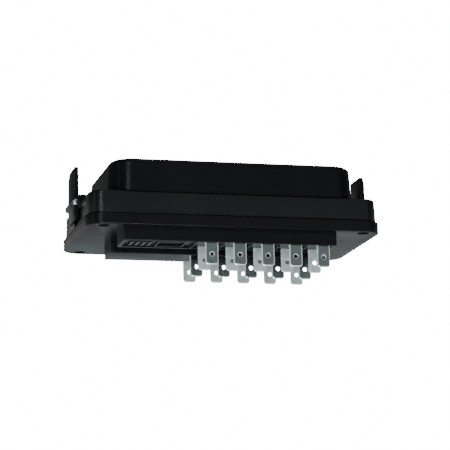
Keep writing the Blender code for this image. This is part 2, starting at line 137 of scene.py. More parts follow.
# Fuses
BLADE_SPAN = 14.5 * MM
BLADE_WIDTH = 5.2 * MM
BLADE_LENGTH = 6.5 * MM
BLADE_THICKNESS = 0.65 * MM
FUSE_CAP = 4.2 * MM
FUSE_CAP_SLOPE = 0.8 * MM
FUSE_CAP_CHAMFER = 0.6 * MM
FUSE_CAP_ROOF = 3.5 * MM
FUSE_WAIST_WIDTH = 16.6 * MM
FUSE_ROUND = 0.3 * MM
PIT_FROM_END = 3.0 * MM
PIT_HALF_WIDTH = 0.9 * MM
PIT_HALF_LENGTH = 1.5 * MM
PIT_DEPTH = 1.4 * MM
PANEL_DEPTH = 0.35 * MM
PANEL_FROM_SIDE = 2.2 * MM
PANEL_FROM_FOOT = 1.4 * MM
PANEL_FROM_CAP = 1.6 * MM

# Lid
LID_WALL = 1.8 * MM
SKIRT_TOP = 16.2 * MM
SKIRT_DRAFT = 0.4 * MM
SKIRT_FOOT_ROUND = 0.4 * MM
SKIRT_TOP_ROUND = 0.9 * MM
LEAD_IN = 0.1 * MM  # bevel inside the skirt's foot
DOME_HALF_LENGTH = 58.8 * MM
DOME_FRONT = -27.35 * MM
DOME_REAR = 37.35 * MM
DOME_CORNER = 10.6 * MM
DOME_EDGE = 2.2 * MM
DOME_WALL = 1.6 * MM
DOME_DRAFT = 0.5 * MM
DOME_FILLET = 0.5 * MM
EAR_THICKNESS = 1.6 * MM
EAR_TOP = 19.4 * MM
EAR_REACH = 5.5 * MM
EAR_SLOPE = 1 * MM

# Catches on the collar's ends, and their windows in the skirt
CATCH_WIDTH = 9.0 * MM
CATCH_TOP = 12.9 * MM
CATCH_LIP = 1.5 * MM

# Latches and their pins
LATCH_THICKNESS = 2.1 * MM
LATCH_TIP = 3.8 * MM
LATCH_HOOK = 1.4 * MM
LATCH_ROUND = 0.22 * MM
KNUCKLE = 3.6 * MM
EAR_TURN = (60, -165)  # where the arc round an ear's knuckle starts, and its sweep, in degrees
LATCH_TURN = (-70, 140)
PIN = 1.5 * MM
PIN_HOLE = PIN + 2 * GAP
PIN_HEAD = 2.8 * MM
PIN_HEAD_HEIGHT = 0.5 * MM
PIN_HEAD_TURNS = (0, 0.4, 0.8, 1.2)  # radians round the head's dome
PIN_HEAD_BEVEL = 0.1 * MM
PIN_HEAD_FLAT = 0.1 * MM
PIN_NECK = 0.05 * MM

# Materials
# Near-white colour and metallic of bare metal at worn edges; on the tabs' coined bevels they are a painted
# highlight
BARE_EDGE_AND_HIGHLIGHT = (0.95, 0.97, 0.95)
BARE_EDGE_AND_HIGHLIGHT_METALLIC = 0.3
MOULD_GRAIN = 2600
MOULD_GRAIN_DEPTH = 0.04 * MM
MOULD_WEAR = 0.35 * MM  # how far wear reaches in from an edge
SHEET_GRAIN_DEPTH = 0.02 * MM
# Reach of a metal edge's wear, which also spreads the painted highlight over a tab's coined bevels
SHEET_WEAR_AND_HIGHLIGHT = 0.3 * MM
FUSE_FLOW_DEPTH = 0.05 * MM
FUSE_CLARITY = 0.75
FUSE_TINTS = {
    "fuse_red": (0.85, 0.10, 0.03),
    "fuse_blue": (0.05, 0.25, 0.80),
    "fuse_yellow": (0.92, 0.70, 0.05),
    "fuse_clear": (0.85, 0.85, 0.82),
    "fuse_green": (0.06, 0.50, 0.16),
}

# Camera: which way it looks, in degrees, how far off it stands, and what it aims at beside the
# object's middle
CAMERA_AZIMUTH = -14.5
CAMERA_ELEVATION = -12.1
CAMERA_ROLL = -1.3
CAMERA_DISTANCE = 0.9615
CAMERA_LENS = 160
CAMERA_SENSOR = 36
CAMERA_CLIP = (0.01, 50)
AIM_RIGHT = 3.0 * MM
AIM_UP = 0.55 * MM

# Lights: azimuth and elevation in degrees, distance, (width, height), power and colour
LIGHTS = {
    "corner_light": (-25, 12, 1.2, (0.05, 1.0), 2.2, (0.9, 0.95, 1.0)),
    "front_panel": (10, 18, 1.5, (2.4, 0.8), 1.8, (0.84, 0.95, 1.0)),
    "side_strip": (-75, 12, 1.2, (0.2, 0.5), 0.25, (0.95, 1.0, 1.0)),
    "low_front": (-10, -40, 1.2, (0.6, 0.6), 14, (0.92, 1.0, 0.98)),
    "top_light": (20, 70, 1.2, (1.0, 1.0), 1.5, (1, 1, 1)),
}

# Floor, far below the object
FLOOR_RADIUS = 3.0
FLOOR_THICKNESS = 0.02
FLOOR_DROP = 0.9
FLOOR_GLOW = 0.2  # keeps the floor pale under dim lights

# The world is white to the camera. The object mirrors a room instead, with colours over a
# direction's height and, multiplied in, from front to back.
WHITE_BEHIND = 16.0
HEIGHT_STOPS = [
    (-1.0, (1.5, 1.55, 1.5)),
    (-0.8, (1.5, 1.55, 1.5)),
    (-0.6, (0.48, 0.54, 0.55)),
    (-0.05, (0.48, 0.54, 0.55)),
    (0.18, (0.42, 0.42, 0.38)),
    (0.25, 0.08),
    (1.0, 0.06),
]
DEPTH_STOPS = [
    (-1.0, (0.14, 0.16, 0.18)),
    (-0.3, (0.30, 0.32, 0.34)),
    (0.4, 1.0),
]

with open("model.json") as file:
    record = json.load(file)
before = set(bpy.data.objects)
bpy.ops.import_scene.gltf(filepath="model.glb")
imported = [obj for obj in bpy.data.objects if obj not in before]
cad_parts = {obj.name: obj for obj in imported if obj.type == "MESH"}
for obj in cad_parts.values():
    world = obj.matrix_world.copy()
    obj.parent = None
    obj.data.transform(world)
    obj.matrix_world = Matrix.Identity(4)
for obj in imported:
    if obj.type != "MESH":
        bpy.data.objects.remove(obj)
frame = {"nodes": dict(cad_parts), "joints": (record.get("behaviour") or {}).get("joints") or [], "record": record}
cad_low, cad_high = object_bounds()
base_low, base_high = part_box("base")
lid_low, lid_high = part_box("lid")
MIDDLE = (cad_low + cad_high) / 2
MIDDLE_Y = (base_low.y + base_high.y) / 2
HALF_LENGTH = base_high.x
HALF_DEPTH = base_high.y - MIDDLE_Y


# ---------------------------------------------------------------- meshes


def add_object(name, data):
    made = bpy.data.objects.new(name, data)
    bpy.context.scene.collection.objects.link(made)
    return made


def object_from(name, shape):
    """An object with a bmesh for its mesh."""
    mesh = bpy.data.meshes.new(name)
    shape.to_mesh(mesh)
    shape.free()
    return add_object(name, mesh)


def loft(name, rings):
    """A solid through rings of equal length, closed by its first and last ring."""
    shape = bmesh.new()
    loops = [[shape.verts.new(point) for point in ring] for ring in rings]
    shape.faces.new(list(reversed(loops[0])))
    shape.faces.new(loops[-1])
    for low, high in zip(loops, loops[1:]):
        for i in range(len(low)):
            j = (i + 1) % len(low)
            shape.faces.new((low[i], low[j], high[j], high[i]))
    bmesh.ops.recalc_face_normals(shape, faces=shape.faces)
    return object_from(name, shape)


def bake(made):
    """Turns an object's modifiers into its mesh."""
    graph = bpy.context.evaluated_depsgraph_get()
    mesh = bpy.data.meshes.new_from_object(made.evaluated_get(graph))
    made.modifiers.clear()
    old = made.data
    made.data = mesh
    bpy.data.meshes.remove(old)
    return made


def combine(made, operation, others):
    """Cuts solids out of an object or joins them to it, and uses them up."""
    for other in others:
        modifier = made.modifiers.new(other.name, "BOOLEAN")
        modifier.operation = operation
        modifier.object = other
        modifier.solver = "EXACT"
    bake(made)
    for other in others:
        bpy.data.objects.remove(other, do_unlink=True)
    return made


def cut(made, *others):
    return combine(made, "DIFFERENCE", others)


def join(made, *others):
    return combine(made, "UNION", others)


def gather(name, pieces):
    """Solids that stay clear of each other, as one cutter."""
    shape = bmesh.new()
    for piece in pieces:
        shape.from_mesh(piece.data)
        bpy.data.objects.remove(piece, do_unlink=True)
    return object_from(name, shape)


def soften(made, width, angle=40):
    """Rounds the edges that are sharper than an angle."""
    modifier = made.modifiers.new("soften", "BEVEL")
    modifier.width = width
    modifier.segments = 2
    modifier.limit_method = "ANGLE"
    modifier.angle_limit = math.radians(angle)
    return bake(made)


def shade(made, angle=32):
    """Smooth shading, but for the edges that are sharper than an angle."""
    made.data.shade_smooth()
    made.data.set_sharp_from_angle(angle=math.radians(angle))
    return made


def inset_box(box, inset):
    """An (x0, x1, y0, y1) box drawn in on all sides."""
    return (box[0] + inset, box[1] - inset, box[2] + inset, box[3] - inset)


def flange_box(inset):
    box = (-HALF_LENGTH, HALF_LENGTH, MIDDLE_Y - HALF_DEPTH, MIDDLE_Y + HALF_DEPTH)
    return inset_box(box, inset)


def ring(box, radius, z):
    """Points round a rectangle with rounded corners, at one height."""
    x0, x1, y0, y1 = box
    points = []
    for x, y, turn in ((x1, y1, 0), (x0, y1, 1), (x0, y0, 2), (x1, y0, 3)):
        cx = x - radius if turn in (0, 3) else x + radius
        cy = y - radius if turn in (0, 1) else y + radius
        for step in range(CORNER_STEPS + 1):
            angle = math.pi / 2 * (turn + step / CORNER_STEPS)
            points.append((cx + radius * math.cos(angle), cy + radius * math.sin(angle), z))
    return points


def profile_rings(box, corner, turns):
    """The rings of a profile, from its (inset, z) points."""
    return [ring(inset_box(box, inset), corner - inset, z) for inset, z in turns]


def quarter(inset0, z0, inset1, z1, leave_upright):
    """(inset, z) points along a quarter ellipse that sets off either upright or level."""
    turns = []
    for step in range(EDGE_STEPS + 1):
        angle = math.pi / 2 * step / EDGE_STEPS
        slow, fast = 1 - math.cos(angle), math.sin(angle)
        a, b = (slow, fast) if leave_upright else (fast, slow)
        turns.append((inset0 + (inset1 - inset0) * a, z0 + (z1 - z0) * b))
    return turns


def block(name, box, z0, z1, corner, low=0.0, high=0.0):
    """An upright block with rounded corners and, where asked, rounded low and high edges."""
    turns = quarter(low, z0, 0, z0 + low, False) if low else [(0, z0)]
    turns += quarter(0, z1 - high, high, z1, True) if high else [(0, z1)]
    return loft(name, profile_rings(box, corner, turns))


def slab(name, x0, x1, y0, y1, z0, z1):
    rings = [[(x0, y0, z), (x1, y0, z), (x1, y1, z), (x0, y1, z)] for z in (z0, z1)]
    return loft(name, rings)


def circle(cx, cy, radius, steps):
    angles = [2 * math.pi * i / steps for i in range(steps)]
    return [(cx + radius * math.cos(a), cy + radius * math.sin(a)) for a in angles]


def arc(cx, cy, radius, start, sweep, steps):
    """Points along an arc, whose start and sweep are in degrees."""
    angles = [math.radians(start + sweep * i / steps) for i in range(steps + 1)]
    return [(cx + radius * math.cos(a), cy + radius * math.sin(a)) for a in angles]


def upright(name, x, y, sections, steps=32):
    """A turned solid on an upright axis, from (radius, z) sections."""
    rings = [[(px, py, z) for px, py in circle(x, y, radius, steps)] for radius, z in sections]
    return loft(name, rings)


def along_y(name, outline, y0, y1):
    return loft(name, [[(x, y, z) for x, z in outline] for y in (y0, y1)])


def along_x(name, outline, x0, x1):
    return loft(name, [[(x, y, z) for y, z in outline] for x in (x0, x1)])


def turned_along_y(name, x, y, z, sections, steps=32):
    """A turned solid on an axis along Y through a point, from (radius, offset) sections."""
    rings = [
        [(px, y + offset, pz) for px, pz in circle(x, z, radius, steps)]
        for radius, offset in sections
    ]
    return loft(name, rings)


# ---------------------------------------------------------------- materials


def colour_ramp(tree, source, stops):
    """Values along a ramp, from (position, grey) or (position, (r, g, b)) stops."""
    node = tree.nodes.new("ShaderNodeValToRGB")
    elements = node.color_ramp.elements
    while len(elements) < len(stops):
        elements.new(0.5)
    for element, (position, value) in zip(elements, stops):
        element.position = position
        colour = value if isinstance(value, tuple) else (value, value, value)
        element.color = (*colour, 1)
    tree.links.new(source, node.inputs["Fac"])
    return node.outputs["Color"]


class Nodes:
    """A few short ways to build a material's node tree."""

    def __init__(self, name):
        self.material = bpy.data.materials.new(name)
        self.material.use_nodes = True
        self.tree = self.material.node_tree
        self.shader = self.tree.nodes["Principled BSDF"]
        self.place = self.tree.nodes.new("ShaderNodeTexCoord").outputs["Object"]

    def add(self, kind, **settings):
        node = self.tree.nodes.new(kind)
        for key, value in settings.items():
            setattr(node, key, value)
        return node

    def link(self, source, target):
        self.tree.links.new(source, target)

    def height(self):
        split = self.add("ShaderNodeSeparateXYZ")
        self.link(self.place, split.inputs["Vector"])
        return split.outputs["Z"]

    def noise(self, scale, detail, roughness=0.5, stretch=None):
        node = self.add("ShaderNodeTexNoise")
        node.inputs["Scale"].default_value = scale
        node.inputs["Detail"].default_value = detail
        node.inputs["Roughness"].default_value = roughness
        source = self.place
        if stretch:
            mapping = self.add("ShaderNodeMapping")
            mapping.inputs["Scale"].default_value = stretch
            self.link(self.place, mapping.inputs["Vector"])
            source = mapping.outputs["Vector"]
        self.link(source, node.inputs["Vector"])
        return node.outputs["Fac"]

    def ramp(self, source, stops):
        return colour_ramp(self.tree, source, stops)

    def mix(self, factor, first, second):
        node = self.add("ShaderNodeMix", data_type="RGBA")
        sockets = {s.identifier: s for s in node.inputs}
        self.link(factor, sockets["Factor_Float"])
        for key, value in (("A_Color", first), ("B_Color", second)):
            if isinstance(value, tuple):
                sockets[key].default_value = (*value, 1)
            else:
                self.link(value, sockets[key])
        return next(s for s in node.outputs if s.identifier == "Result_Color")

    def maths(self, operation, first, second):
        node = self.add("ShaderNodeMath", operation=operation)
        for socket, value in zip(node.inputs, (first, second)):
            if isinstance(value, (int, float)):
                socket.default_value = value
            else:
                self.link(value, socket)
        return node.outputs["Value"]

    def worn_edges(self, radius):
        """1 on an outer edge and 0 on a flat face, from how far rounding turns the surface."""
        bevel = self.add("ShaderNodeBevel", samples=4)
        bevel.inputs["Radius"].default_value = radius
        geometry = self.add("ShaderNodeNewGeometry")
        dot = self.add("ShaderNodeVectorMath", operation="DOT_PRODUCT")
        self.link(bevel.outputs["Normal"], dot.inputs[0])
        self.link(geometry.outputs["Normal"], dot.inputs[1])
        turned = self.maths("SUBTRACT", 1.0, dot.outputs["Value"])
        return self.ramp(turned, [(0.02, 0.0), (0.25, 1.0)])

    def painted_highlight_rim(self):
        """The mask of a painted highlight: 0 on a face square to Y and 1 on a bevel beside it."""
        split = self.add("ShaderNodeSeparateXYZ")
        self.link(self.add("ShaderNodeTexCoord").outputs["Normal"], split.inputs["Vector"])
        facing = self.maths("ABSOLUTE", split.outputs["Y"], 0)
        return self.ramp(facing, [(0.90, 1.0), (0.96, 0.0)])

    def bump(self, height, strength, distance):
        node = self.add("ShaderNodeBump")
        node.inputs["Strength"].default_value = strength
        node.inputs["Distance"].default_value = distance
        self.link(height, node.inputs["Height"])
        return node.outputs["Normal"]

    def set(self, **values):
        """Sets the shader's inputs to values or links them to outputs, and gives the material."""
        for key, value in values.items():
            socket = self.shader.inputs[key.replace("_", " ")]
            if hasattr(value, "is_linked"):
                self.link(value, socket)
            else:
                socket.default_value = value
        return self.material


def scaled(colour, factor, lift=0.0):
    return tuple(c * factor + lift for c in colour)


def black_plastic(name, colour, rough, shine=(0.25, 0.25), step=0.0):
    """Moulded black plastic: a fine grain, slow gloss changes, handling marks, paler edges.

    The shine is how strongly the surface mirrors, below and above a height called step.
    """
    n = Nodes(name)
    cloud = n.noise(60, detail=3)
    grains = n.noise(MOULD_GRAIN, detail=2, roughness=0.6)
    marks = n.noise(240, detail=6, roughness=0.7, stretch=(0.15, 1.0, 1.0))
    body = n.mix(n.ramp(cloud, [(0.3, 0.0), (0.75, 1.0)]), scaled(colour, 0.8), colour)
    base_colour = n.mix(n.worn_edges(MOULD_WEAR), body, scaled(colour, 1.9, lift=0.004))
    gloss = n.ramp(cloud, [(0.25, rough - 0.05), (0.8, rough + 0.07)])
    scuffs = n.ramp(marks, [(0.55, 0.0), (0.8, 0.12)])
    roughness = n.maths("ADD", gloss, scuffs)
    normal = n.bump(grains, strength=0.10, distance=MOULD_GRAIN_DEPTH)
    below, above = shine
    level = n.ramp(n.maths("GREATER_THAN", n.height(), step), [(0.0, below), (1.0, above)])
    return n.set(
        Base_Color=base_colour, Roughness=roughness, Normal=normal, IOR=1.5,
        Specular_IOR_Level=level,
    )


def plated_metal(
    name, colour, shadow, rough, grain, stretch=None, brushed=0.2, metallic=1.0, painted_rim_highlight=False
):
    """Plated sheet metal: fine rolling lines, dull patches and near-white edges, partly bare metal worn through
    and partly a painted highlight.
    """
    n = Nodes(name)
    cloud = n.noise(350, detail=4, roughness=0.6)
    lines = n.noise(grain, detail=3, roughness=0.6, stretch=stretch)
    tarnish = n.ramp(cloud, [(0.35, 1.0), (0.7, 0.0)])
    edges = n.worn_edges(SHEET_WEAR_AND_HIGHLIGHT)
    # painted highlight: the bevels beside faces square to Y take the near-white edge colour, standing in for the
    # bright rim of light along them
    if painted_rim_highlight:
        edges = n.maths("MAXIMUM", edges, n.painted_highlight_rim())
    edge_metallic = min(metallic, BARE_EDGE_AND_HIGHLIGHT_METALLIC)
    return n.set(
        Base_Color=n.mix(edges, n.mix(tarnish, colour, shadow), BARE_EDGE_AND_HIGHLIGHT),
        Roughness=n.ramp(cloud, [(0.3, rough - 0.06), (0.75, rough + 0.1)]),
        Normal=n.bump(lines, strength=brushed, distance=SHEET_GRAIN_DEPTH),
        Metallic=n.ramp(edges, [(0.0, metallic), (1.0, edge_metallic)]),
    )


def tinted_plastic(name, colour):
    """Translucent tinted plastic with faint flow marks and a soft gloss."""
    n = Nodes(name)
    flow = n.noise(180, detail=3, stretch=(1.0, 0.4, 1.0))
    return n.set(
        Base_Color=n.mix(n.ramp(flow, [(0.3, 0.0), (0.7, 1.0)]), scaled(colour, 0.75), colour),
        Roughness=n.ramp(flow, [(0.2, 0.12), (0.8, 0.24)]),
        Normal=n.bump(flow, strength=0.08, distance=FUSE_FLOW_DEPTH),
        Transmission_Weight=FUSE_CLARITY,
        IOR=1.49,
    )


def paint(made, material):
    made.data.materials.clear()
    made.data.materials.append(material)
    for face in made.data.polygons:
        face.material_index = 0


def stand_for(made, node, body, material):
    """Finishes a piece: material, the body it rides on and the CAD node, which it hides."""
    paint(made, material)
    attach(made, body)
    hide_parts(node)


# ---------------------------------------------------------------- base


def bank_rows():
    """Y of the middle of each bank, from the terminals that stand at its two edges."""
    rows = []
    for front, rear in (("terminal_a1", "terminal_b1"), ("terminal_c1", "terminal_d1")):
        rows.append((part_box(front)[0].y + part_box(rear)[1].y) / 2)
    return rows


def column_centres():
    boxes = [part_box(f"terminal_a{n}") for n in range(1, COLUMNS + 1)]
    return [(low.x + high.x) / 2 for low, high in boxes]


def spare_centres():
    """X of the blind parking positions, which carry the columns on to the left."""
    columns = column_centres()
    pitch = columns[1] - columns[0]
    return [columns[0] - pitch * (i + 1) for i in range(SPARE_COLUMNS)]


def terminals():
    """(name, x, y of the tab, direction of its jaw) of every terminal."""
    found = []
    for letter, inward in zip("abcd", (1, -1, 1, -1)):
        for number in range(1, COLUMNS + 1):
            name = f"terminal_{letter}{number}"
            low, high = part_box(name)
            edge_y = low.y if inward > 0 else high.y
            y = edge_y + inward * TAB_THICKNESS / 2
            found.append((name, (low.x + high.x) / 2, y, inward))
    return found


def screws():
    """(x, y) of the four screw holes."""
    return [(x, MIDDLE_Y + y) for x in (-SCREW_X, SCREW_X) for y in (-SCREW_Y, SCREW_Y)]


def bank_box(row, inset=0.0):
    half = BANK_DEPTH / 2
    return inset_box((BANK_LEFT, BANK_RIGHT, row - half, row + half), inset)


def flange_and_collar():
    """The flange and, inside the lid's skirt, the collar, still solid."""
    flange_edge = FLANGE_HEIGHT - FLANGE_TOP_ROUND
    collar_edge = COLLAR_TOP - COLLAR_TOP_ROUND
    turns = quarter(FLANGE_FOOT_ROUND, 0, 0, FLANGE_FOOT_ROUND, False)
    turns += quarter(0, flange_edge, FLANGE_TOP_ROUND, FLANGE_HEIGHT, True)
    turns += quarter(
        COLLAR_INSET - COLLAR_FILLET, FLANGE_HEIGHT,
        COLLAR_INSET, FLANGE_HEIGHT + COLLAR_FILLET, False,
    )
    turns += quarter(COLLAR_INSET, collar_edge, COLLAR_INSET + COLLAR_TOP_ROUND, COLLAR_TOP, True)
    return loft("base_shell", profile_rings(flange_box(0), FLANGE_CORNER, turns))


def tray():
    """The hollow inside the collar, with the four screw bosses left standing in it."""
    inset = COLLAR_INSET + COLLAR_WALL
    hollow = block(
        "tray", flange_box(inset), FLOOR_TOP, COLLAR_TOP + PAST, FLANGE_CORNER - inset,
        low=TRAY_ROUND,
    )
    radius = SCREW_BOSS / 2
    sections = [(radius, FLOOR_TOP - PAST), (radius, COLLAR_TOP + 2 * PAST)]
    bosses = [upright("boss", x, y, sections) for x, y in screws()]
    return cut(hollow, gather("bosses", bosses))


def socket_blocks():
    left = spare_centres()[-1] - SOCKET_MARGIN
    right = column_centres()[-1] + SOCKET_MARGIN
    half = SOCKET_DEPTH / 2
    return [
        block(
            f"sockets_{i}", (left, right, row - half, row + half),
            FLOOR_TOP - PAST, COLLAR_TOP, SOCKET_CORNER, high=SOCKET_ROUND,
        )
        for i, row in enumerate(bank_rows())
    ]


def catches():
    """A hooked post at each end of the collar."""
    outer = HALF_LENGTH - COLLAR_INSET
    inner = outer - COLLAR_WALL
    tip = HALF_LENGTH - SKIRT_INSET - GAP
    outline = [
        (inner, FLOOR_TOP),
        (outer, FLOOR_TOP),
        (outer, CATCH_TOP - CATCH_LIP),
        (tip, CATCH_TOP - CATCH_LIP),
        (tip, CATCH_TOP - CATCH_LIP / 2),
        (outer, CATCH_TOP),
        (inner, CATCH_TOP),
    ]
    half = CATCH_WIDTH / 2
    made = []
    for side in (-1, 1):
        points = [(side * x, z) for x, z in outline]
        made.append(along_y(f"catch_{side}", points, MIDDLE_Y - half, MIDDLE_Y + half))
    return made


def front_pocket():
    """The front bank's hollow, with ribs, bars and a frame left standing in it."""
    row = bank_rows()[0]
    box = bank_box(row, BANK_RIM)
    left, _, front, rear = box
    ceiling = -BANK_HEIGHT + BANK_POCKET
    hollow = block(
        "pocket", box, -BANK_HEIGHT - PAST, ceiling, POCKET_CORNER, high=POCKET_ROUND
    )
    heights = (ceiling - RIB_HEIGHT, ceiling + PAST)
    columns = column_centres()
    half_pitch = (columns[1] - columns[0]) / 2
    between = [x + half_pitch for x in columns[:-1]] + [columns[0] - half_pitch]
    ribs = [
        slab("rib", x - RIB_HALF_WIDTH, x + RIB_HALF_WIDTH, front - PAST, rear + PAST, *heights)
        for x in between
    ]
    reach = BAR_HALF_LENGTH
    for i in range(BARS):
        x = left + BAR_START + BAR_PITCH * i
        ribs.append(slab("bar", x, x + BAR_WIDTH, row - reach, row + reach, *heights))
    ribs.append(frame_rib(spare_centres()[0] - FRAME_OFFSET, row, heights))
    return cut(hollow, gather("ribs", ribs))


def frame_rib(x, row, heights):
    """A raised rectangular frame, its four sides mitred at the corners."""
    corners = ((-1, -1), (1, -1), (1, 1), (-1, 1))
    outer = [(x + sx * FRAME_HALF_LENGTH, row + sy * FRAME_HALF_DEPTH) for sx, sy in corners]
    inner = [
        (px - sx * FRAME_THICKNESS, py - sy * FRAME_THICKNESS)
        for (px, py), (sx, sy) in zip(outer, corners)
    ]
    shape = bmesh.new()
    low, high = [
        [[shape.verts.new((px, py, z)) for px, py in loop] for loop in (outer, inner)]
        for z in heights
    ]
    for i in range(4):
        j = (i + 1) % 4
        shape.faces.new((low[0][j], low[0][i], low[1][i], low[1][j]))
        shape.faces.new((high[0][i], high[0][j], high[1][j], high[1][i]))
        shape.faces.new((low[0][i], low[0][j], high[0][j], high[0][i]))
        shape.faces.new((low[1][j], low[1][i], high[1][i], high[1][j]))
    bmesh.ops.recalc_face_normals(shape, faces=shape.faces)
    return object_from("frame_rib", shape)


def slots():
    """Cutters for the tabs' slots and the jaws' pockets, and for the blind parking slots."""
    above = COLLAR_TOP + 2 * PAST
    tab_cuts = []
    jaw_cuts = []
    half_x = TAB_WIDTH / 2 + GAP
    half_y = TAB_THICKNESS / 2 + GAP
    jaw_x = JAW_HALF_GAP + JAW_LEAF + GAP
    low, top = -BANK_HEIGHT - 2 * PAST, BRIDGE_BOTTOM + TAB_THICKNESS + GAP
    for name, x, y, inward in terminals():
        tab_cuts.append(slab(name, x - half_x, x + half_x, y - half_y, y + half_y, low, top))
        ends = sorted((y - inward * half_y, y + inward * (BLADE_WIDTH + 2 * GAP)))
        jaw_cuts.append(slab(name, x - jaw_x, x + jaw_x, *ends, BRIDGE_BOTTOM - GAP, above))
    parking = []
    half_x, half_y = BLADE_THICKNESS / 2 + 2 * GAP, BLADE_SPAN / 2 + GAP
    low = COLLAR_TOP - BLADE_LENGTH
    for x in spare_centres():
        for row in bank_rows():
            ends = (row - half_y, row + half_y)
            parking.append(slab("park", x - half_x, x + half_x, *ends, low, above))
    return [gather("tab_cuts", tab_cuts), gather("jaw_cuts", jaw_cuts), gather("parking", parking)]


def screw_cutters():
    """Cutters for the flared screw holes and for the counterbores above them."""
    radius, head = SCREW_HOLE / 2, SCREW_HEAD / 2
    mouth = radius + SCREW_FLARE
    shank = [(mouth, -PAST), (mouth, -HAIR), (radius, SCREW_FLARE), (radius, SCREW_SEAT + PAST)]
    bore = [(head, SCREW_SEAT), (head, COLLAR_TOP + PAST)]
    through, heads = [], []
    for x, y in screws():
        through.append(upright("through", x, y, shank))
        heads.append(upright("head", x, y, bore))
    return [gather("through", through), gather("heads", heads)]


def base_piece():
    made = flange_and_collar()
    cut(made, tray())
    banks = [
        block(f"bank_{i}", bank_box(row), -BANK_HEIGHT, PAST, BANK_CORNER, low=BANK_ROUND)
        for i, row in enumerate(bank_rows())
    ]
    join(made, *socket_blocks(), *banks, *catches())
    cut(made, front_pocket(), *slots(), *screw_cutters())
    return shade(made)


# ---------------------------------------------------------------- lid


def lid_shell():
    """Skirt, ledge and dome, hollowed to an even wall."""
    skirt, corner = flange_box(SKIRT_INSET), FLANGE_CORNER - SKIRT_INSET
    dome = (-DOME_HALF_LENGTH, DOME_HALF_LENGTH, DOME_FRONT, DOME_REAR)
    foot, top = lid_low.z, lid_high.z
    dome_edge = top - DOME_EDGE

    turns = quarter(SKIRT_FOOT_ROUND, foot, 0, foot + SKIRT_FOOT_ROUND, False)
    turns += quarter(
        SKIRT_DRAFT, SKIRT_TOP - SKIRT_TOP_ROUND, SKIRT_DRAFT + SKIRT_TOP_ROUND, SKIRT_TOP, True
    )
    outside = profile_rings(skirt, corner, turns)
    turns = quarter(-DOME_FILLET, SKIRT_TOP, 0, SKIRT_TOP + DOME_FILLET, False)
    outside += profile_rings(dome, DOME_CORNER, turns)
    turns = quarter(DOME_DRAFT, dome_edge, DOME_DRAFT + DOME_EDGE, top, True)
    outside += profile_rings(dome, DOME_CORNER + DOME_DRAFT, turns)

    mouth, ceiling = SKIRT_WALL - LEAD_IN, SKIRT_TOP - LID_WALL
    turns = [(mouth, foot - GAP), (mouth, foot), (SKIRT_WALL, foot + LEAD_IN)]
    turns += quarter(
        SKIRT_WALL, ceiling - DOME_FILLET, SKIRT_WALL + DOME_FILLET, ceiling, True
    )
    inside = profile_rings(skirt, corner, turns)
    turns = [(DOME_WALL, ceiling)]
    turns += quarter(
        DOME_WALL + DOME_DRAFT, dome_edge, DOME_EDGE + DOME_DRAFT, top - LID_WALL, True
    )
    radius = DOME_CORNER - DOME_WALL
    inside += [ring(inset_box(dome, inset), radius, z) for inset, z in turns]
    return cut(loft("lid_shell", outside), loft("lid_hollow", inside))


def pivots():
    """(side, body, x, y, z) of each latch's pin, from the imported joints."""
    found = []
    for joint in frame["joints"]:
        if joint["type"] == "hinge":
            x, y, z = joint["pos_m"]
            found.append((math.copysign(1, x), joint["child"], x, y, z))
    return found


def latch_half_width():
    low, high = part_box("latch_left")
    return (high.y - low.y) / 2


def ears():
    """Lugs on the lid's ends, two to a latch."""
    made = []
    wall = HALF_LENGTH - SKIRT_INSET - SKIRT_WALL / 2
    root = SKIRT_TOP - LID_WALL / 2
    near = latch_half_width() + GAP
    for side, _, x, y, z in pivots():
        knuckle = arc(abs(x), z, KNUCKLE / 2, *EAR_TURN, KNUCKLE_STEPS)
        outline = [
            (side * (wall - EAR_REACH), root),
            (side * (wall - EAR_REACH + EAR_SLOPE), EAR_TOP),
            (x, EAR_TOP),
            *[(side * px, pz) for px, pz in knuckle],
            (side * wall, z - KNUCKLE),
            (side * wall, root),
        ]
        for end in (-1, 1):
            reach = sorted((y + end * near, y + end * (near + EAR_THICKNESS)))
            made.append(along_y(f"ear_{side}_{end}", outline, *reach))
    return made


def pin_bore(x, y, z, reach):
    return turned_along_y("bore", x, y, z, [(PIN_HOLE / 2, -reach), (PIN_HOLE / 2, reach)])


def pin_bores():
    reach = latch_half_width() + GAP + EAR_THICKNESS + PAST
    return gather("bores", [pin_bore(x, y, z, reach) for _, _, x, y, z in pivots()])


def catch_windows():
    made = []
    half = CATCH_WIDTH / 2 + 2 * GAP
    inner = HALF_LENGTH - SKIRT_INSET - SKIRT_WALL - PAST
    for side in (-1, 1):
        ends = sorted((side * inner, side * HALF_LENGTH))
        made.append(slab("window", *ends, MIDDLE_Y - half, MIDDLE_Y + half, 0, CATCH_TOP + 3 * GAP))
    return gather("windows", made)


def lid_piece():
    made = lid_shell()
    join(made, *ears())
    cut(made, catch_windows(), pin_bores())
    return shade(made)


# ---------------------------------------------------------------- latches and pins


def latch_outline(x, z, low, high, inner):
    """(x, z) outline of the right-hand latch: hook, knuckle, then thumb tab."""
    outer = inner + LATCH_THICKNESS
    hook_top = CATCH_TOP - CATCH_LIP - 2 * GAP
    return [
        (inner + 2 * GAP, low),
        (outer - GAP, low),
        (outer, low + 3 * GAP),
        *arc(x, z, KNUCKLE / 2, *LATCH_TURN, KNUCKLE_STEPS),
        (outer, high - LATCH_TIP),
        (outer - 2 * GAP, high),
        (inner - GAP, high),
        (inner - GAP, z + KNUCKLE),
        (inner, z + KNUCKLE / 2),
        (inner, hook_top + GAP),
        (inner - GAP, hook_top),
        (inner - GAP, hook_top - LATCH_HOOK),
        (inner, low + 2 * GAP),
    ]


